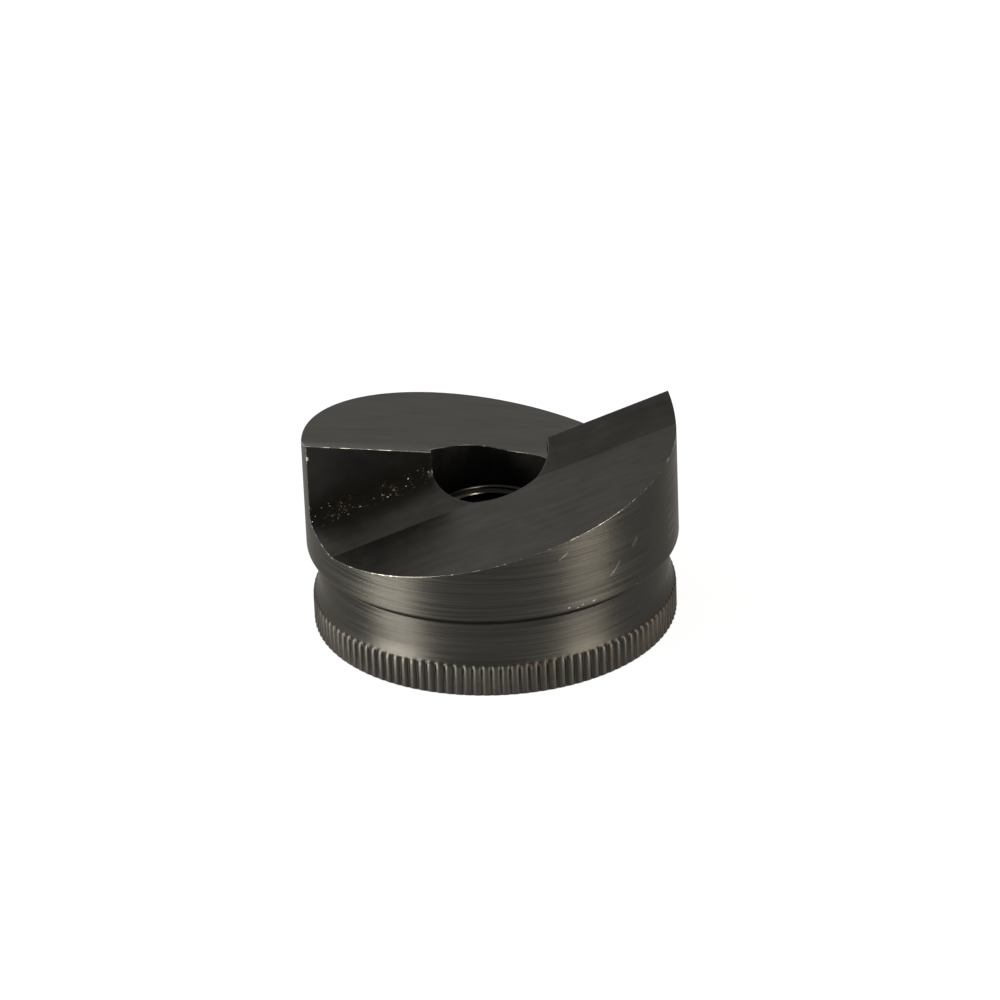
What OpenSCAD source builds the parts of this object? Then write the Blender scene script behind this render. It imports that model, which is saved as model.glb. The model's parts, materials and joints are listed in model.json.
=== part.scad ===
// Knockout punch: a slug-splitting sheet-metal punch, turned, milled and knurled from one steel bar.
// The base stands on Z = 0, Z is the punch's axis, and both cutting edges run along X.

/* [Cutting body] */
// Diameter of the hole that the punch cuts
cut_d = 61.5; // [50:0.5:80]
// Height of the rim where the cutting body ends
shoulder_z = 14.1; // [11:0.1:16]
// Drop of the sloping shoulder between that rim and the neck
shoulder_drop = 1.4; // [0.5:0.1:2.5]
// Depth of the neck below the cutting body, on the radius
neck_relief = 1.65; // [1.2:0.05:2.5]
// Radius of the hollow where the neck runs out to the flange
flare_r = 5; // [3:0.5:8]

/* [Knurled flange] */
// Depth of the flange's crests below the cutting body, on the radius
flange_relief = 0.65; // [0.4:0.05:0.9]
// Height of the flange
flange_h = 5.5; // [4:0.1:9]
// Height of the easing at the upper ends of the knurl
easing_h = 0.9; // [0.5:0.1:2]
// Depth of that easing, on the radius
easing_w = 0.35; // [0.2:0.05:0.6]
// Chamfer round the flange's lower edge
base_chamfer = 0.3; // [0.1:0.05:0.6]
// Number of straight knurl grooves
knurl_count = 120; // [80:1:130]
// Depth of a knurl groove
knurl_depth = 0.4; // [0.2:0.05:0.5]
// Width of a knurl groove at the crests
knurl_groove_w = 0.9; // [0.5:0.05:1.1]
// Width of a knurl groove's flat root
knurl_root_w = 0.1; // [0.05:0.05:0.3]

/* [Bore] */
// Major diameter of the draw stud's thread
thread_d = 19.05; // [12:0.05:24]
// Pitch of the draw stud's thread
thread_pitch = 1.5875; // [1:0.0125:2.5]
// Height of the step where the thread ends and the clearance bore begins
thread_top_z = 18.2; // [15:0.1:20]
// Clearance between the draw stud and the bore above the thread, on the diameter
stud_clearance = 0.25; // [0.1:0.05:1]
// Radius by which the lower mouth's chamfer passes the thread
mouth_lead = 0.3; // [0.1:0.05:1]

/* [Cutting wings] */
// Tilt of the two milled cuts, which is also the rake of the cutting edges
wing_tilt = 13; // [6:0.5:16]
// Height of the cutting edges where they would meet the punch's axis
edge_z = 28.25; // [26:0.05:34]
// Distance between each cutting edge and the punch's axis
edge_offset = 0.8; // [0.3:0.05:2]
// Width of the sloping facet beside each cutting edge
facet_w = 7.2; // [4:0.1:10]
// Slope of that facet, down from the cutting edge
facet_slope = 17.5; // [8:0.5:22]
// Radius at the foot of each wing's wall
wall_fillet = 1.5; // [0.5:0.1:3]

/* [Hidden] */
$fn = 128;

steel_black = "#3b3a37";

// Radii of the turned steps
cut_r = cut_d / 2;
neck_r = cut_r - neck_relief;
flange_r = cut_r - flange_relief;
land_r = flange_r - easing_w;

// The flare is an arc that starts upright on the neck and ends on the flange's top
flare_w = max(land_r - neck_r, 0);
flare_z = flange_h + sqrt(flare_r * flare_r - (flare_r - flare_w) * (flare_r - flare_w));

// Knurl: the cutter's flanks run on past the crests, so the crests stay round
knurl_step = 360 / knurl_count;
knurl_root_r = flange_r - knurl_depth;
knurl_overrun = 0.3;
knurl_flank = (knurl_groove_w - knurl_root_w) / knurl_depth;
knurl_open_w = knurl_groove_w + knurl_flank * knurl_overrun;
knurl_corners = [
  [flange_r + knurl_overrun, -knurl_open_w / 2],
  [knurl_root_r, -knurl_root_w / 2],
  [knurl_root_r, knurl_root_w / 2],
  [flange_r + knurl_overrun, knurl_open_w / 2],
];

// Bore: a unified thread's minor diameter, and its two 45 degree chamfers
minor_diameter_share = 1.0825;
minor_r = (thread_d - minor_diameter_share * thread_pitch) / 2;
clearance_r = (thread_d + stud_clearance) / 2;
mouth_r = thread_d / 2 + mouth_lead;

// Wings: the section of one milled cut, level with the cutting edge at zero
facet_rise = tan(facet_slope);
facet_drop = facet_w * facet_rise;
crease_y = -edge_offset - facet_w;
fillet_y = edge_offset - wall_fillet;
fillet_z = (fillet_y + edge_offset) * facet_rise + wall_fillet / cos(facet_slope);
foot_y = fillet_y + wall_fillet * sin(facet_slope);
foot_z = fillet_z - wall_fillet * cos(facet_slope);

// The bar is longer than the wings, and the cutters run clear of it
overrun = 1;
blank_top = edge_z + cut_r * tan(wing_tilt) + overrun;
cut_reach = cut_d;

function turned(point, angle) = [
  point.x * cos(angle) - point.y * sin(angle),
  point.x * sin(angle) + point.y * cos(angle),
];

// The bar after turning: a neck under the cutting body's sloping shoulder, flared at its foot
module turned_blank() {
  rotate_extrude() {
    polygon([
      [0, 0],
      [neck_r, 0],
      [neck_r, shoulder_z - shoulder_drop],
      [cut_r, shoulder_z],
      [cut_r, blank_top],
      [0, blank_top],
    ]);
    difference() {
      polygon([
        [0, flange_h],
        [land_r, flange_h],
        [land_r, flare_z],
        [0, flare_z],
      ]);
      translate([neck_r + flare_r, flare_z])
        circle(flare_r);
    }
  }
}

// The flange before knurling, eased in two steps towards its top
module flange_blank() {
  rotate_extrude()
    polygon([
      [0, 0],
      [flange_r - base_chamfer, 0],
      [flange_r, base_chamfer],
      [flange_r, flange_h - easing_h],
      [flange_r - easing_w / 3, flange_h - easing_h / 3],
      [land_r, flange_h],
      [0, flange_h],
    ]);
}

// A straight knurl round the flange
module knurled_flange() {
  intersection() {
    flange_blank();
    translate([0, 0, -overrun])
      linear_extrude(flange_h + 2 * overrun)
        polygon([
          for (i = [0 : knurl_count - 1])
            for (corner = knurl_corners)
              turned(corner, i * knurl_step)
        ]);
  }
}

// The stepped bore: thread below, clearance for the draw stud above
module bore() {
  rotate_extrude()
    polygon([
      [0, -overrun],
      [mouth_r + overrun, -overrun],
      [minor_r, mouth_r - minor_r],
      [minor_r, thread_top_z - (clearance_r - minor_r)],
      [clearance_r, thread_top_z],
      [clearance_r, blank_top + overrun],
      [0, blank_top + overrun],
    ]);
}

// Section of a milled cut: level floor, sloping facet, and a round foot under the other wing's wall
module wing_section() {
  polygon([
    [edge_offset, cut_reach],
    [edge_offset, fillet_z],
    [foot_y, foot_z],
    [crease_y, -facet_drop],
    [-cut_reach, -facet_drop],
    [-cut_reach, cut_reach],
  ]);
  translate([fillet_y, fillet_z])
    circle(wall_fillet);
}

// One pass of the cutter across the bar, tilted so that the edge climbs towards its tip
module wing_cut() {
  translate([0, 0, edge_z])
    rotate([0, -wing_tilt, 0])
      rotate([90, 0, 90])
        linear_extrude(2 * cut_reach, center = true)
          wing_section();
}

// The whole punch, in one piece
module punch() {
  color(steel_black)
    difference() {
      union() {
        turned_blank();
        knurled_flange();
      }
      bore();
      for (half_turn = [0, 180])
        rotate([0, 0, half_turn])
          wing_cut();
    }
}

punch();
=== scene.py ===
import json
import math

import bmesh
import bpy
from mathutils import Matrix, Vector


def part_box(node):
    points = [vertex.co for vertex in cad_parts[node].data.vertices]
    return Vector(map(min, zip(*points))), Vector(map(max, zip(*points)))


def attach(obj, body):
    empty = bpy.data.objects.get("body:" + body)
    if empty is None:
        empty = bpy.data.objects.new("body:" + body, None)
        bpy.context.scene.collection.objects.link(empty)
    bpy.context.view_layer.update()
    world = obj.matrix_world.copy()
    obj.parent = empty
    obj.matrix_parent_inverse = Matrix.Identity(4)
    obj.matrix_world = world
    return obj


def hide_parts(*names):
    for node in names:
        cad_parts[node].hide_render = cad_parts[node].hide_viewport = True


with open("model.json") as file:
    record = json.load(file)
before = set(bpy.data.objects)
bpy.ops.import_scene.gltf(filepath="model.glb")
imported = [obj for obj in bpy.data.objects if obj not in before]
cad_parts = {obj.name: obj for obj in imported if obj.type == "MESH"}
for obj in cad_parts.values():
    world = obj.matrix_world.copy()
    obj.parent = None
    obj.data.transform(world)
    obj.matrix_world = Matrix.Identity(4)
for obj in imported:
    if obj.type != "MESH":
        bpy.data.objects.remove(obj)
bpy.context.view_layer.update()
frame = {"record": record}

# A knockout punch, turned, knurled, milled and tapped from one bar of blackened tool steel.
# It stands on Z = 0, Z is its axis, and both cutting edges run along X.

# Sizes of the punch, in metres
MM = 0.001
ORIGIN = Vector((0, 0, 0))
AXIS = Vector((0, 0, 1))
RECORD_MOUNTS = {mount["name"]: mount for mount in frame["record"]["mounts"]}
CUT_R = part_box("punch")[1][0]
TIP_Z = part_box("punch")[1][2]
NECK_R = CUT_R - 1.65 * MM
SHOULDER_Z = 14.1 * MM
SHOULDER_DROP = 1.4 * MM
FLANGE_R = CUT_R - 0.65 * MM
FLANGE_H = 5.5 * MM
EASING_H = 0.9 * MM
EASING_W = 0.35 * MM
FLARE_R = 5 * MM
BASE_CHAMFER = 0.3 * MM
KNURL_GROOVES = 120
KNURL_DEPTH = 0.4 * MM
KNURL_GROOVE_W = 0.9 * MM
KNURL_ROOT_W = 0.1 * MM
MINOR_R = RECORD_MOUNTS["stud_thread"]["dims"]["r_mm"] * MM
THREAD_R = 9.525 * MM
THREAD_PITCH = 1.5875 * MM
THREAD_HALF_ANGLE = math.radians(30)
THREAD_TOP = 18.2 * MM
CLEARANCE_R = 9.65 * MM
MOUTH_R = THREAD_R + 0.3 * MM
WING_TILT = math.radians(13)
EDGE_Z = 28.25 * MM
EDGE_OFFSET = 0.8 * MM
FACET_W = 7.2 * MM
FACET_SLOPE = math.radians(17.5)
FOOT_R = 1.5 * MM

# Edge breaks
RIM_BREAK = 0.09 * MM
SHOULDER_BREAK = 0.45 * MM
KNURL_BREAK = 0.24 * MM

# Steps and overlaps of the cuts
BAR_SPARE = 1 * MM
ARC_STEPS = 8
COLUMNS_PER_GROOVE = 4
THREAD_STEPS_PER_TURN = 96
THREAD_OVERLAP = 0.15 * MM

# Limits of distance and angle that tell surfaces and edges apart
MERGE_DISTANCE = 0.001 * MM
SAME_PLACE = 0.01 * MM
FLAT_ANGLE = math.radians(0.05)
BREAK_ANGLE = math.radians(40)
SMOOTH_ANGLE = math.radians(12)
KNURL_SMOOTH_ANGLE = math.radians(38)

# Limits of how a face points, as its normal's part along a direction
FACES_OUT = 0.9
LEANS_OUT = 0.1
FACES_UP = 0.5
LEANS_DOWN = -0.3

# Finishes, in the order of the punch's material slots
TURNED, MILLED, WALL, KNURLED, BORED, WORN = range(6)

# The photograph's camera, and the pixel where the aim point shows in its 1000 pixel frame
PHOTO_SIZE = 1000
AIM = Vector((0, 0, 15 * MM))
AIM_PIXEL = (492.5, 528.4)
CAMERA_DISTANCE = 1.0
CAMERA_AZIMUTH = math.radians(-15.87)
CAMERA_ELEVATION = math.radians(27.17)
CAMERA_ROLL = math.radians(-2.31)
CAMERA_FOCAL_PIXELS = 6060
CAMERA_REACH = 100
SENSOR_MM = 36


# Shapes

def arc(centre, radius, start, end):
    """Points of a circle's arc, from one angle to another."""
    turns = [start + (end - start) * i / ARC_STEPS for i in range(ARC_STEPS + 1)]
    return [(centre[0] + radius * math.cos(t), centre[1] + radius * math.sin(t)) for t in turns]


def as_object(name, bm):
    """A finished bmesh as an object at the origin."""
    mesh = bpy.data.meshes.new(name)
    bm.to_mesh(mesh)
    bm.free()
    piece = bpy.data.objects.new(name, mesh)
    bpy.context.scene.collection.objects.link(piece)
    return piece


def subtract(piece, cutter):
    """Cuts the cutter's solid out of the piece, and throws the cutter away."""
    boolean = piece.modifiers.new("cut", "BOOLEAN")
    boolean.operation = "DIFFERENCE"
    boolean.solver = "MANIFOLD"
    boolean.object = cutter
    graph = bpy.context.evaluated_depsgraph_get()
    piece.data = bpy.data.meshes.new_from_object(piece.evaluated_get(graph))
    piece.modifiers.clear()
    bpy.data.objects.remove(cutter)


def bar_profile():
    """Half section of the turned bar, as (radius, height) points from the bore's lower mouth."""
    land_r = FLANGE_R - EASING_W
    flare_turn = math.acos(1 - (land_r - NECK_R) / FLARE_R)
    flare_centre = (NECK_R + FLARE_R, FLANGE_H + FLARE_R * math.sin(flare_turn))
    bar_top = TIP_Z + BAR_SPARE
    return [
        (MOUTH_R, 0),
        (FLANGE_R - BASE_CHAMFER, 0),
        (FLANGE_R, BASE_CHAMFER),
        (FLANGE_R, FLANGE_H - EASING_H),
        (FLANGE_R - EASING_W / 3, FLANGE_H - EASING_H / 3),
        *arc(flare_centre, FLARE_R, math.pi + flare_turn, math.pi),
        (NECK_R, SHOULDER_Z - SHOULDER_DROP),
        (CUT_R, SHOULDER_Z),
        (CUT_R, bar_top),
        (CLEARANCE_R, bar_top),
        (CLEARANCE_R, THREAD_TOP),
        (MINOR_R, THREAD_TOP - CLEARANCE_R + MINOR_R),
        (MINOR_R, MOUTH_R - MINOR_R),
    ]


def knurl(bm, columns):
    """Presses the straight knurl into the flange: four columns of vertices make each groove."""
    half_widths = (-KNURL_GROOVE_W / 2, -KNURL_ROOT_W / 2, KNURL_ROOT_W / 2, KNURL_GROOVE_W / 2)
    roots = (1, 2)
    root_r = FLANGE_R - KNURL_DEPTH
    step = 2 * math.pi / columns
    for vert in bm.verts:
        radius = math.hypot(vert.co.x, vert.co.y)
        if vert.co.z > FLANGE_H + SAME_PLACE or radius < root_r:
            continue
        column = round(math.atan2(vert.co.y, vert.co.x) / step - 0.5)
        groove, place = divmod(column + COLUMNS_PER_GROOVE // 2, COLUMNS_PER_GROOVE)
        turn = groove * COLUMNS_PER_GROOVE * step + half_widths[place] / FLANGE_R
        if place in roots:
            radius = root_r
        vert.co.x = radius * math.cos(turn)
        vert.co.y = radius * math.sin(turn)


def turned_bar():
    """The bar after turning and knurling, before its wings are milled."""
    columns = COLUMNS_PER_GROOVE * KNURL_GROOVES
    bm = bmesh.new()
    verts = [bm.verts.new((radius, 0, height)) for radius, height in bar_profile()]
    edges = [bm.edges.new((verts[i - 1], verts[i])) for i in range(len(verts))]
    bmesh.ops.spin(
        bm,
        geom=verts + edges,
        cent=ORIGIN,
        axis=AXIS,
        angle=2 * math.pi,
        steps=columns,
        use_merge=True,
    )
    half_column = Matrix.Rotation(math.pi / columns, 3, "Z")
    bmesh.ops.rotate(bm, verts=bm.verts, cent=ORIGIN, matrix=half_column)
    knurl(bm, columns)
    bmesh.ops.recalc_face_normals(bm, faces=bm.faces)
    return as_object("punch_steel", bm)


def wing_cutter(half_turn):
    """The space that one pass of the mill clears: level floor, sloping facet and a round wall foot."""
    reach = 2 * CUT_R
    rise = math.tan(FACET_SLOPE)
    foot_y = EDGE_OFFSET - FOOT_R
    foot_z = (foot_y + EDGE_OFFSET) * rise + FOOT_R / math.cos(FACET_SLOPE)
    section = [
        (-reach, reach),
        (-reach, -FACET_W * rise),
        (-EDGE_OFFSET - FACET_W, -FACET_W * rise),
        *arc((foot_y, foot_z), FOOT_R, FACET_SLOPE - math.pi / 2, 0),
        (EDGE_OFFSET, reach),
    ]
    bm = bmesh.new()
    face = bm.faces.new([bm.verts.new((-reach, y, z)) for y, z in section])
    grown = bmesh.ops.extrude_face_region(bm, geom=[face])["geom"]
    grown_verts = [item for item in grown if isinstance(item, bmesh.types.BMVert)]
    bmesh.ops.translate(bm, verts=grown_verts, vec=(2 * reach, 0, 0))
    bmesh.ops.rotate(bm, verts=bm.verts, cent=ORIGIN, matrix=Matrix.Rotation(-WING_TILT, 3, "Y"))
    bmesh.ops.translate(bm, verts=bm.verts, vec=(0, 0, EDGE_Z))
    bmesh.ops.rotate(bm, verts=bm.verts, cent=ORIGIN, matrix=Matrix.Rotation(half_turn, 3, "Z"))
    bmesh.ops.recalc_face_normals(bm, faces=bm.faces)
    return as_object("wing_cutter", bm)


def thread_cutter():
    """The helical groove of the tapped thread, one closed ribbon that runs out at both ends."""
    inner_r = MINOR_R - THREAD_OVERLAP
    root_w = THREAD_PITCH / 8
    mouth_w = root_w + 2 * (THREAD_R - inner_r) * math.tan(THREAD_HALF_ANGLE)
    start_z = -THREAD_PITCH
    turns = math.ceil((THREAD_TOP - start_z) / THREAD_PITCH) + 1
    section = [
        (inner_r, -mouth_w / 2),
        (THREAD_R, -root_w / 2),
        (THREAD_R, root_w / 2),
        (inner_r, mouth_w / 2),
    ]
    bm = bmesh.new()
    first = bm.faces.new([bm.verts.new((radius, 0, start_z + height)) for radius, height in section])
    end = bmesh.ops.spin(
        bm,
        geom=list(first.verts) + list(first.edges),
        cent=ORIGIN,
        axis=AXIS,
        dvec=(0, 0, THREAD_PITCH / THREAD_STEPS_PER_TURN),
        angle=2 * math.pi * turns,
        steps=THREAD_STEPS_PER_TURN * turns,
    )["geom_last"]
    end_edges = [item for item in end if isinstance(item, bmesh.types.BMEdge)]
    bmesh.ops.contextual_create(bm, geom=end_edges)
    bmesh.ops.recalc_face_normals(bm, faces=bm.faces)
    return as_object("thread_cutter", bm)


def surface_kind(face):
    """Which finish a face of the raw punch has, from where it lies and how it faces."""
    centre = face.calc_center_median()
    radius = math.hypot(centre.x, centre.y)
    outward = (centre.x * face.normal.x + centre.y * face.normal.y) / max(radius, MM)
    upward = face.normal.z
    if radius < CLEARANCE_R + 2 * SAME_PLACE:
        return BORED
    if centre.z < FLANGE_H and outward > LEANS_OUT and radius > NECK_R:
        return KNURLED
    if centre.z > SHOULDER_Z + 1 * MM and outward < FACES_OUT:
        return WALL if upward < FACES_UP else MILLED
    # The shoulder's underside takes the bore's darker oxide: painted shade under the shoulder
    if SHOULDER_Z - SHOULDER_DROP < centre.z < SHOULDER_Z and upward < LEANS_DOWN:
        return BORED
    return TURNED


def break_edges(bm):
    """Takes the sharpness off the rims, the shoulder and the knurl's crests, as handling does."""
    rims = []
    crests = []
    shoulder = []
    for edge in bm.edges:
        if len(edge.link_faces) != 2 or not edge.is_convex or edge.calc_face_angle() < BREAK_ANGLE:
            continue
        kinds = sorted(face.material_index for face in edge.link_faces)
        climbs = abs(edge.verts[0].co.z - edge.verts[1].co.z) > SAME_PLACE
        at_shoulder = all(abs(vert.co.z - SHOULDER_Z) < SAME_PLACE for vert in edge.verts)
        if kinds == [KNURLED, KNURLED] and climbs:
            crests.append(edge)
        elif at_shoulder:
            shoulder.append(edge)
        elif MILLED in kinds or WALL in kinds:
            rims.append(edge)
    settings = {"offset_type": "OFFSET", "affect": "EDGES", "profile": 0.5, "material": -1}
    bmesh.ops.bevel(bm, geom=crests, offset=KNURL_BREAK, segments=3, **settings)
    bmesh.ops.bevel(bm, geom=shoulder, offset=SHOULDER_BREAK, segments=8, **settings)
    worn = bmesh.ops.bevel(bm, geom=rims, offset=RIM_BREAK, segments=2, **settings)["faces"]
    for face in worn:
        face.material_index = WORN


def shade_smooth(bm):
    """Smooth shading up to the edges: only the knurl's teeth are shaded round over a wide angle."""
    for face in bm.faces:
        face.smooth = True
    for edge in bm.edges:
        on_knurl = all(face.material_index == KNURLED for face in edge.link_faces)
        limit = KNURL_SMOOTH_ANGLE if on_knurl else SMOOTH_ANGLE
        edge.smooth = len(edge.link_faces) == 2 and edge.calc_face_angle() < limit


def make_punch():
    """The whole punch: turned, knurled, tapped, milled, with its edges broken."""
    punch = turned_bar()
    subtract(punch, thread_cutter())
    for half_turn in (0, math.pi):
        subtract(punch, wing_cutter(half_turn))
    punch.data.materials.clear()
    bm = bmesh.new()
    bm.from_mesh(punch.data)
    bmesh.ops.remove_doubles(bm, verts=bm.verts, dist=MERGE_DISTANCE)
    bmesh.ops.dissolve_limit(
        bm,
        angle_limit=FLAT_ANGLE,
        verts=bm.verts,
        edges=bm.edges,
        delimit=set(),
    )
    for face in bm.faces:
        face.material_index = surface_kind(face)
    break_edges(bm)
    shade_smooth(bm)
    bm.to_mesh(punch.data)
    bm.free()
    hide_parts("punch")
    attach(punch, "root")
    return punch


# Finishes

# Places of a colour Mix node's sockets, which share their names with its sockets for numbers
MIX_SHARE = 0
MIX_FIRST = 6
MIX_SECOND = 7
MIX_RESULT = 2


class Level:
    """A socket in a node tree. Arithmetic on it adds Math nodes."""

    def __init__(self, nodes, socket):
        self.nodes = nodes
        self.socket = socket

    def math(self, operation, first, second=0.0):
        return self.nodes.node("ShaderNodeMath", {"operation": operation}, {0: first, 1: second})

    def __add__(self, other):
        return self.math("ADD", self, other)

    def __radd__(self, other):
        return self.math("ADD", other, self)

    def __sub__(self, other):
        return self.math("SUBTRACT", self, other)

    def __rsub__(self, other):
        return self.math("SUBTRACT", other, self)

    def __mul__(self, other):
        return self.math("MULTIPLY", self, other)

    def __rmul__(self, other):
        return self.math("MULTIPLY", other, self)

    def size(self):
        return self.math("ABSOLUTE", self)

    def sign(self):
        return self.math("SIGN", self)

    def root(self):
        return self.math("SQRT", self)

    def at_least(self, other):
        return self.math("MAXIMUM", self, other)


class Nodes:
    """A node tree, and the ways to add to it."""

    def __init__(self, tree):
        self.tree = tree

    def node(self, kind, settings=None, inputs=None, output=0):
        """Adds a node, sets it up, fills or links its sockets, and gives one of its outputs."""
        node = self.tree.nodes.new(kind)
        for name, value in (settings or {}).items():
            setattr(node, name, value)
        for name, value in (inputs or {}).items():
            self.fill(node.inputs[name], value)
        return Level(self, node.outputs[output])

    def fill(self, socket, value):
        if isinstance(value, Level):
            self.tree.links.new(value.socket, socket)
        else:
            socket.default_value = value

    def between(self, value, low, high):
        """A value's place between two limits, from 0 to 1."""
        inputs = {"Value": value, "From Min": low, "From Max": high}
        return self.node("ShaderNodeMapRange", {"clamp": True}, inputs)


class Finish(Nodes):
    """A material with a Principled shader, and the nodes that vary it or cover it."""

    def __init__(self, name, **constants):
        self.material = bpy.data.materials.new(name)
        self.material.use_nodes = True
        super().__init__(self.material.node_tree)
        self.shader = self.tree.nodes["Principled BSDF"]
        for socket_name, value in constants.items():
            self.shader.inputs[socket_name.replace("_", " ")].default_value = value
        self.place = self.node("ShaderNodeTexCoord", output="Object")

    def feed(self, socket_name, value):
        self.fill(self.shader.inputs[socket_name], value)

    def noise(self, cells, detail=2.0, rough=0.5):
        """Noise on Object coordinates, with its cells to the metre along each axis."""
        stretched = {"Vector": self.place, "Scale": cells}
        place = self.node("ShaderNodeMapping", {"vector_type": "POINT"}, stretched)
        inputs = {"Vector": place, "Scale": 1.0, "Detail": detail, "Roughness": rough}
        return self.node("ShaderNodeTexNoise", None, inputs)

    def axes(self):
        """The three Object coordinates, one by one."""
        return [self.node("ShaderNodeSeparateXYZ", None, {0: self.place}, axis) for axis in "XYZ"]

    def vector(self, operation, inputs, output=0):
        return self.node("ShaderNodeVectorMath", {"operation": operation}, inputs, output)

    def radius(self):
        """Distance from the punch's axis."""
        level_place = self.vector("MULTIPLY", {0: self.place, 1: (1, 1, 0)})
        return self.vector("LENGTH", {0: level_place}, "Value")

    def near_line(self, start, end, inner, outer):
        """1 within the inner distance of the line between two points, fading to 0 at the outer distance."""
        along = end - start
        from_start = self.vector("SUBTRACT", {0: self.place, 1: start})
        reach = self.vector("DOT_PRODUCT", {0: from_start, 1: along / along.length_squared}, "Value")
        foot = self.vector("SCALE", {0: along, "Scale": self.between(reach, 0.0, 1.0)})
        distance = self.vector("DISTANCE", {0: from_start, 1: foot}, "Value")
        return 1 - self.between(distance, inner, outer)

    def blend(self, share, first, second):
        """A colour that goes from the first to the second."""
        inputs = {MIX_SHARE: share, MIX_FIRST: first, MIX_SECOND: second}
        return self.node("ShaderNodeMix", {"data_type": "RGBA"}, inputs, MIX_RESULT)

    def dull_layer(self, share, colour):
        """Covers a share of the surface with a dull layer."""
        dull = {"Base Color": colour, "Roughness": 1.0, "Specular IOR Level": 0.0}
        layer = self.node("ShaderNodeBsdfPrincipled", None, dull)
        clean = Level(self, self.shader.outputs[0])
        covered = self.node("ShaderNodeMixShader", None, {0: share, 1: clean, 2: layer})
        self.fill(self.tree.nodes["Material Output"].inputs["Surface"], covered)

    def bump(self, height, strength, distance):
        inputs = {"Height": height, "Strength": strength, "Distance": distance}
        self.feed("Normal", self.node("ShaderNodeBump", None, inputs))


# Colours of the steel, from deep oxide to rubbed metal, of what lies on it, and of painted shade
# OXIDE_BLACK and OXIDE_DEEP: the bore's deep oxide; on the upright walls and under the shoulder they are
# also painted shade
OXIDE_BLACK = (0.015, 0.0147, 0.0139, 1)
OXIDE_DEEP = (0.022, 0.0214, 0.0199, 1)
GROOVE_OXIDE = (0.026, 0.0248, 0.0222, 1)
TURNED_DARK = (0.0285, 0.0273, 0.0244, 1)
TURNED_LIGHT = (0.0485, 0.0464, 0.0413, 1)
MILLED_DARK = (0.0475, 0.0456, 0.0413, 1)
MILLED_LIGHT = (0.0695, 0.0664, 0.0599, 1)
THREAD_STEEL = (0.05, 0.0472, 0.0413, 1)
OXIDE_RUBBED = (0.051, 0.0483, 0.0426, 1)
BARE_STEEL = (0.33, 0.315, 0.285, 1)
# Near-black painted shade for the gullet's corner under each wall
CORNER_SHADE = (0.003, 0.0027, 0.0021, 1)
BROWN_DUST = (0.05, 0.043, 0.031, 1)
PALE_SWARF = (0.22, 0.21, 0.185, 1)
RUST_BROWN = (0.029, 0.0215, 0.0155, 1)

# Tints of the steel's gloss at grazing angles
GRAZING_TINT = (0.68, 0.66, 0.63, 1)
MILLED_TINT = (0.575, 0.567, 0.553, 1)

# Cells of the patterns, to the metre along X, Y and Z
TURNING_MARKS = (50, 50, 4300)
TURNED_MOTTLE = (160, 160, 160)
MILLING_MARKS = (110, 900, 110)
MILLED_MOTTLE = (300, 300, 300)
FINE_MOTTLE = (500, 500, 500)
RUST_SPOTS = (110, 110, 40)
WORN_PATCHES = (700, 700, 700)
BROKEN_SCRATCHES = (1100, 1100, 1100)
DUST_CLUMPS = (420, 420, 420)
DUST_GRAINS = (2900, 2900, 2900)
SWARF_FLECKS = (1700, 1700, 1700)

# Marks on the cutting body's side: handling scratches and nicks, and light streaks, as bearings in degrees
# with heights in millimetres
SCRATCHES = (
    ((-85.7, 23.8), (-83.1, 24.7)),
    ((-68.2, 18.3), (-66.2, 19.1)),
    ((-67.0, 18.5), (-64.5, 20.2)),
)
# Lighter streaks across the side, near its edge
LIGHT_STREAKS = (
    ((-58.5, 21.9), (-56.8, 22.6)),
    ((-36.3, 21.5), (-22.0, 22.0)),
    ((-36.6, 19.7), (-22.0, 19.6)),
    ((-36.3, 17.8), (-22.0, 18.3)),
    ((-33.5, 15.4), (-22.0, 15.8)),
)
NICKS = (
    ((-83.3, 14.75), (-83.0, 14.8)),
    ((-80.4, 14.35), (-80.2, 14.4)),
    ((-78.8, 14.7), (-78.5, 14.75)),
    ((-75.0, 14.8), (-74.3, 14.9)),
    ((-57.2, 14.3), (-57.0, 14.35)),
)

# Each kind of mark, with its width and how far it goes towards bare steel
SIDE_MARKS = (
    (SCRATCHES, 0.17 * MM, 0.22),
    (LIGHT_STREAKS, 0.5 * MM, 0.14),
    (NICKS, 0.12 * MM, 0.6),
)

# A chip of swarf on the upright edge of the wall that faces the camera
EDGE_CHIP = Vector((-CUT_R + 0.1 * MM, EDGE_OFFSET, 32.9 * MM))
EDGE_CHIP_TOP = EDGE_CHIP + AXIS * 0.2 * MM
EDGE_CHIP_R = 0.35 * MM

# The middle of the gullet's painted shade and dirt: across from the punch's axis, and above the cutting
# edge
SHADE_AND_DIRT_ACROSS = 0.5 * MM
SHADE_AND_DIRT_ABOVE = 0.75 * MM


def on_side(place):
    """The point of the cutting body's side at a bearing and a height."""
    turn = math.radians(place[0])
    return Vector((CUT_R * math.cos(turn), CUT_R * math.sin(turn), place[1] * MM))


def side_marks(finish):
    """How far the scratches, light streaks and nicks lighten the side towards bare steel."""
    bare_share = 0
    for marks, width, depth in SIDE_MARKS:
        for start, end in marks:
            mark = finish.near_line(on_side(start), on_side(end), width / 3, width)
            bare_share = bare_share + depth * mark
    return bare_share * finish.between(finish.noise(BROKEN_SCRATCHES), 0.3, 0.55)


def edge_chip(finish):
    """1 on the chip of swarf, and 0 elsewhere."""
    return finish.near_line(EDGE_CHIP, EDGE_CHIP_TOP, 0.2 * MM, EDGE_CHIP_R)


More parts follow.
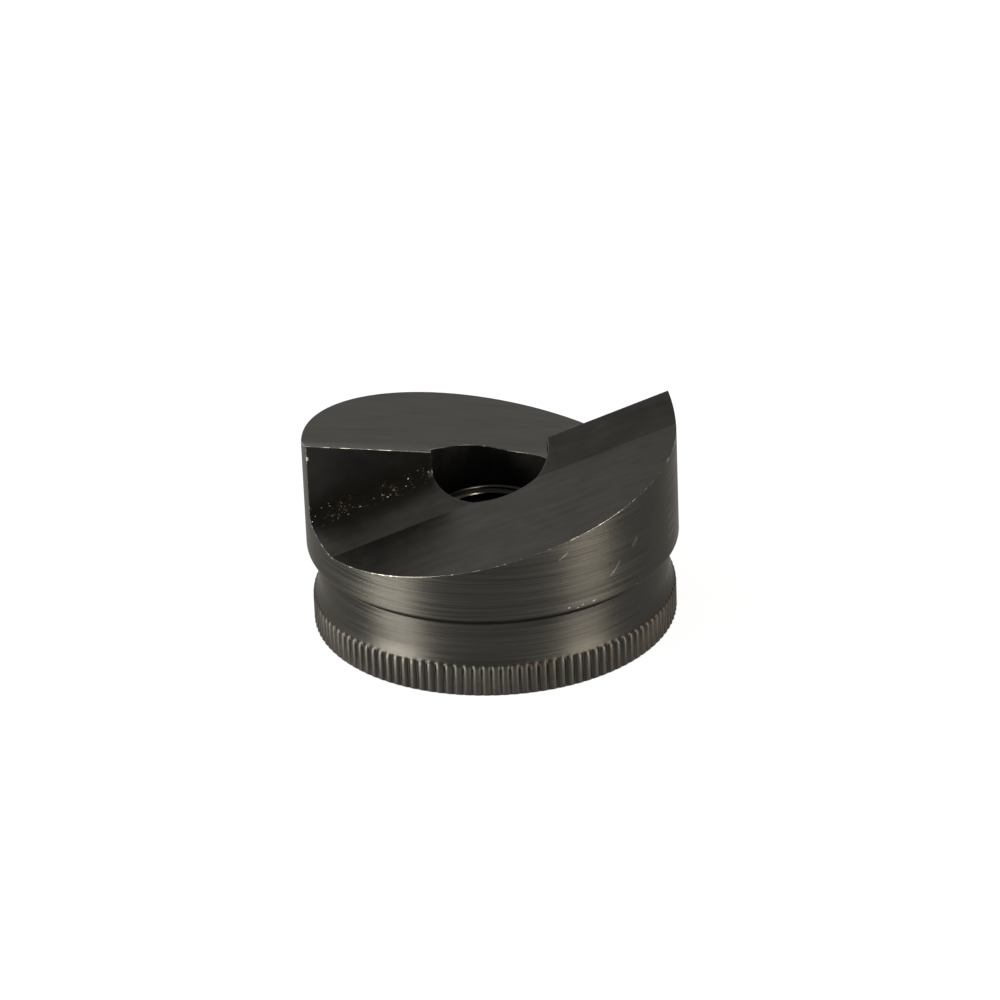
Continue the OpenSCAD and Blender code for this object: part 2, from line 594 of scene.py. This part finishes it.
def gullet_dirt_and_shade(finish):
    """Shares of painted shade, brown dust and pale swarf in the corner under either wing's wall; the shade
    darkens towards the corner.
    """
    x, y, z = finish.axes()
    out = x.size()
    towards_wall = 0 - y * x.sign()
    height = z - EDGE_Z + out * math.tan(WING_TILT)
    across = towards_wall - SHADE_AND_DIRT_ACROSS
    upward = height - SHADE_AND_DIRT_ABOVE
    distance = (across * across + upward * upward).root()
    past_bore = finish.between(out, CLEARANCE_R, CLEARANCE_R + 1 * MM)
    # Painted shade: darkest at the corner under the wall, fading out by 5 mm
    corner_shade = (1 - finish.between(distance, 0.3 * MM, 5 * MM)) * past_bore
    near = (1 - finish.between(distance, 0.6 * MM, 2.2 * MM)) * past_bore
    clumps = finish.between(finish.noise(DUST_CLUMPS), 0.48, 0.64)
    grains = finish.between(finish.noise(DUST_GRAINS, 1.0), 0.60, 0.68)
    flecks = finish.between(finish.noise(SWARF_FLECKS, 1.0), 0.72, 0.77)
    dust = near * clumps * grains
    swarf = (near * flecks).at_least(edge_chip(finish))
    return corner_shade, dust, swarf


def turned_finish():
    """Black oxide over fine turning marks that run round the bar."""
    finish = Finish(
        "turned_black_oxide",
        Metallic=1.0,
        Anisotropic=0.88,
        Anisotropic_Rotation=0.25,
        Specular_Tint=GRAZING_TINT,
    )
    marks = finish.between(finish.noise(TURNING_MARKS, 2.0, 0.6), 0.36, 0.64)
    mottle = finish.between(finish.noise(TURNED_MOTTLE, 4.0, 0.6), 0.3, 0.7)
    oxide = finish.blend(marks, TURNED_DARK, TURNED_LIGHT)
    finish.feed("Base Color", finish.blend(side_marks(finish), oxide, BARE_STEEL))
    finish.feed("Roughness", 0.38 + 0.15 * marks + 0.03 * mottle)
    finish.bump(marks, 0.2, 0.008 * MM)
    return finish.material


def sheltered_finish(name, dark, light, tint):
    """Oxide on a milled face, with faint marks along the cut, and the gullet's dust and swarf over painted
    shade in its corner.
    """
    finish = Finish(name, Metallic=1.0, Specular_Tint=tint)
    mottle = finish.between(finish.noise(MILLED_MOTTLE, 4.0, 0.6), 0.3, 0.7)
    marks = finish.between(finish.noise(MILLING_MARKS, 3.0, 0.6), 0.3, 0.7)
    finish.feed("Base Color", finish.blend(0.4 * mottle + 0.6 * marks, dark, light))
    finish.feed("Roughness", 0.34 + 0.05 * mottle)
    corner_shade, dust, swarf = gullet_dirt_and_shade(finish)
    dirt_and_shade_colour = finish.blend(swarf, finish.blend(dust, CORNER_SHADE, BROWN_DUST), PALE_SWARF)
    # The dull layer paints shade into the corner and carries the dust and swarf
    finish.dull_layer(corner_shade.at_least(dust.at_least(swarf)), dirt_and_shade_colour)
    return finish.material


def milled_finish():
    """Black oxide over the mill's smooth flats."""
    return sheltered_finish("milled_black_oxide", MILLED_DARK, MILLED_LIGHT, MILLED_TINT)


def shaded_wall_finish():
    """Deep oxide on the upright walls, which nothing rubs, darker than the milled flats as painted shade.
    """
    return sheltered_finish("wall_oxide_and_painted_shade", OXIDE_BLACK, OXIDE_DEEP, GRAZING_TINT)


def knurled_finish():
    """Black oxide on the knurl, rubbed on its crests, with a little rust in its grooves."""
    finish = Finish(
        "knurled_black_oxide",
        Metallic=1.0,
        Anisotropic=0.7,
        Anisotropic_Rotation=0.25,
        Specular_Tint=GRAZING_TINT,
    )
    mottle = finish.noise(FINE_MOTTLE, 3.0, 0.6)
    crest = finish.between(finish.radius(), FLANGE_R - 0.6 * KNURL_DEPTH, FLANGE_R)
    rust = finish.between(finish.noise(RUST_SPOTS), 0.54, 0.68) * (1 - crest)
    grooves = finish.blend(rust, GROOVE_OXIDE, RUST_BROWN)
    finish.feed("Base Color", finish.blend(crest * (0.4 + mottle), grooves, OXIDE_RUBBED))
    finish.feed("Roughness", 0.4 + 0.1 * mottle)
    return finish.material


def bored_finish():
    """Black oxide in the bore and under the shoulder, rubbed brighter on the thread by draw studs; under
    the shoulder its dark oxide is painted shade.
    """
    finish = Finish("bored_black_oxide", Metallic=1.0, Specular_Tint=GRAZING_TINT)
    mottle = finish.noise(FINE_MOTTLE, 3.0, 0.6)
    rubbed = 1 - finish.between(finish.radius(), CLEARANCE_R - 0.2 * MM, CLEARANCE_R - 0.05 * MM)
    oxide = finish.blend(finish.between(mottle, 0.3, 0.7), OXIDE_BLACK, OXIDE_DEEP)
    finish.feed("Base Color", finish.blend(rubbed, oxide, THREAD_STEEL))
    finish.feed("Roughness", 0.42 + 0.1 * mottle - 0.26 * rubbed)
    return finish.material


def worn_finish():
    """Edges where handling has rubbed the oxide back towards bare steel."""
    finish = Finish("worn_edge", Metallic=1.0)
    patches = finish.noise(WORN_PATCHES, 3.0, 0.6)
    bare_share = finish.between(patches, 0.52, 0.72)
    finish.feed("Base Color", finish.blend(bare_share, OXIDE_RUBBED, BARE_STEEL))
    finish.feed("Roughness", 0.3 + 0.1 * patches)
    finish.dull_layer(edge_chip(finish), PALE_SWARF)
    return finish.material


# Studio

LIGHT_DISTANCE = 0.55
WHITE = (1, 1, 1)
FLOOR_R = 6
FLOOR_GREY = (0.1, 0.1, 0.1, 1)
FLOOR_WHITE = (0.9, 0.9, 0.9, 1)
# The floor's glow where the punch covers it: black, a painted shadow
FLOOR_PAINTED_SHADOW = (0, 0, 0, 1)

# The room's light, which falls between two heights, given as the sine of their elevation
ROOM_LEVEL = 1.3
CEILING_LOSS = 1.0
CEILING_START = 0.33
CEILING_END = 0.8


def make_camera():
    """The photograph's camera: aimed by the pixel that the aim point falls on."""
    level_back = Vector((math.sin(CAMERA_AZIMUTH), -math.cos(CAMERA_AZIMUTH), 0))
    back = level_back * math.cos(CAMERA_ELEVATION) + AXIS * math.sin(CAMERA_ELEVATION)
    level_right = Vector((math.cos(CAMERA_AZIMUTH), math.sin(CAMERA_AZIMUTH), 0))
    level_up = back.cross(level_right)
    right = level_right * math.cos(CAMERA_ROLL) + level_up * math.sin(CAMERA_ROLL)
    up = back.cross(right)
    metres_per_pixel = CAMERA_DISTANCE / CAMERA_FOCAL_PIXELS
    across = (PHOTO_SIZE / 2 - AIM_PIXEL[0]) * metres_per_pixel
    upward = (AIM_PIXEL[1] - PHOTO_SIZE / 2) * metres_per_pixel
    data = bpy.data.cameras.new("camera")
    data.sensor_width = SENSOR_MM
    data.lens = SENSOR_MM * CAMERA_FOCAL_PIXELS / PHOTO_SIZE
    data.clip_end = CAMERA_REACH
    camera = bpy.data.objects.new("camera", data)
    place = Matrix.Translation(AIM + back * CAMERA_DISTANCE + right * across + up * upward)
    facing = Matrix((right, up, back)).transposed().to_4x4()
    camera.matrix_world = place @ facing
    bpy.context.scene.collection.objects.link(camera)
    bpy.context.scene.camera = camera


def panel_light(name, bearing, width, height, radiance, colour, lift=0.0):
    """An upright panel of light, lifted off the floor and placed by its bearing from the camera's."""
    turn = CAMERA_AZIMUTH + math.radians(bearing)
    outward = Vector((math.sin(turn), -math.cos(turn), 0))
    data = bpy.data.lights.new(name, "AREA")
    data.shape = "RECTANGLE"
    data.size = width
    data.size_y = height
    data.energy = radiance * math.pi * width * height
    data.color = colour
    lamp = bpy.data.objects.new(name, data)
    lamp.location = outward * LIGHT_DISTANCE + AXIS * (lift + height / 2)
    lamp.rotation_mode = "QUATERNION"
    lamp.rotation_quaternion = outward.to_track_quat("Z", "Y")
    bpy.context.scene.collection.objects.link(lamp)


def shown_directly(finish):
    """1 on rays from the camera, from gloss and through glass, and 0 on the rest."""
    camera_ray = finish.node("ShaderNodeLightPath", output="Is Camera Ray")
    glossy_ray = finish.node("ShaderNodeLightPath", output="Is Glossy Ray")
    glass_ray = finish.node("ShaderNodeLightPath", output="Is Transmission Ray")
    return camera_ray.at_least(glossy_ray).at_least(glass_ray)


def make_floor():
    """A white floor that keeps the punch's shadow, with a painted shadow where the punch covers it: its
    glow is black there.
    """
    bm = bmesh.new()
    bmesh.ops.create_circle(bm, cap_ends=True, segments=64, radius=FLOOR_R)
    floor = as_object("floor", bm)
    finish = Finish(
        "white_floor",
        Base_Color=FLOOR_GREY,
        Roughness=1.0,
        Specular_IOR_Level=0.0,
        Emission_Strength=1.0,
    )
    # Painted shadow: the floor's glow fades to black under the punch's flange
    clear = finish.between(finish.radius(), FLANGE_R - 2 * MM, FLANGE_R)
    shown = shown_directly(finish) * clear
    finish.feed("Emission Color", finish.blend(shown, FLOOR_PAINTED_SHADOW, FLOOR_WHITE))
    floor.data.materials.append(finish.material)


def make_world():
    """A white room with a dimmer ceiling."""
    world = bpy.data.worlds.new("white_room")
    world.use_nodes = True
    nodes = Nodes(world.node_tree)
    background = nodes.tree.nodes["Background"]
    background.inputs["Color"].default_value = (*WHITE, 1)
    direction = nodes.node("ShaderNodeTexCoord", output="Generated")
    height = nodes.node("ShaderNodeSeparateXYZ", None, {0: direction}, "Z")
    ceiling = nodes.between(height, CEILING_START, CEILING_END)
    nodes.fill(background.inputs["Strength"], ROOM_LEVEL - CEILING_LOSS * ceiling)
    bpy.context.scene.world = world


punch = make_punch()
for make_finish in (turned_finish, milled_finish, shaded_wall_finish, knurled_finish, bored_finish, worn_finish):
    punch.data.materials.append(make_finish())

make_camera()
make_floor()
make_world()
panel_light("left_strip", bearing=-62, width=0.28, height=0.27, radiance=42, colour=(1, 0.96, 0.88))
panel_light("right_strip", bearing=55, width=0.25, height=0.27, radiance=22, colour=(1, 0.92, 0.80))
panel_light("left_fill", bearing=-120, width=0.6, height=1.2, radiance=1.1, colour=WHITE)
panel_light(
    "bore_light", bearing=46, width=0.14, height=0.3, radiance=36, colour=(1, 0.95, 0.84), lift=0.75
)
bpy.context.scene.view_settings.view_transform = "Standard"
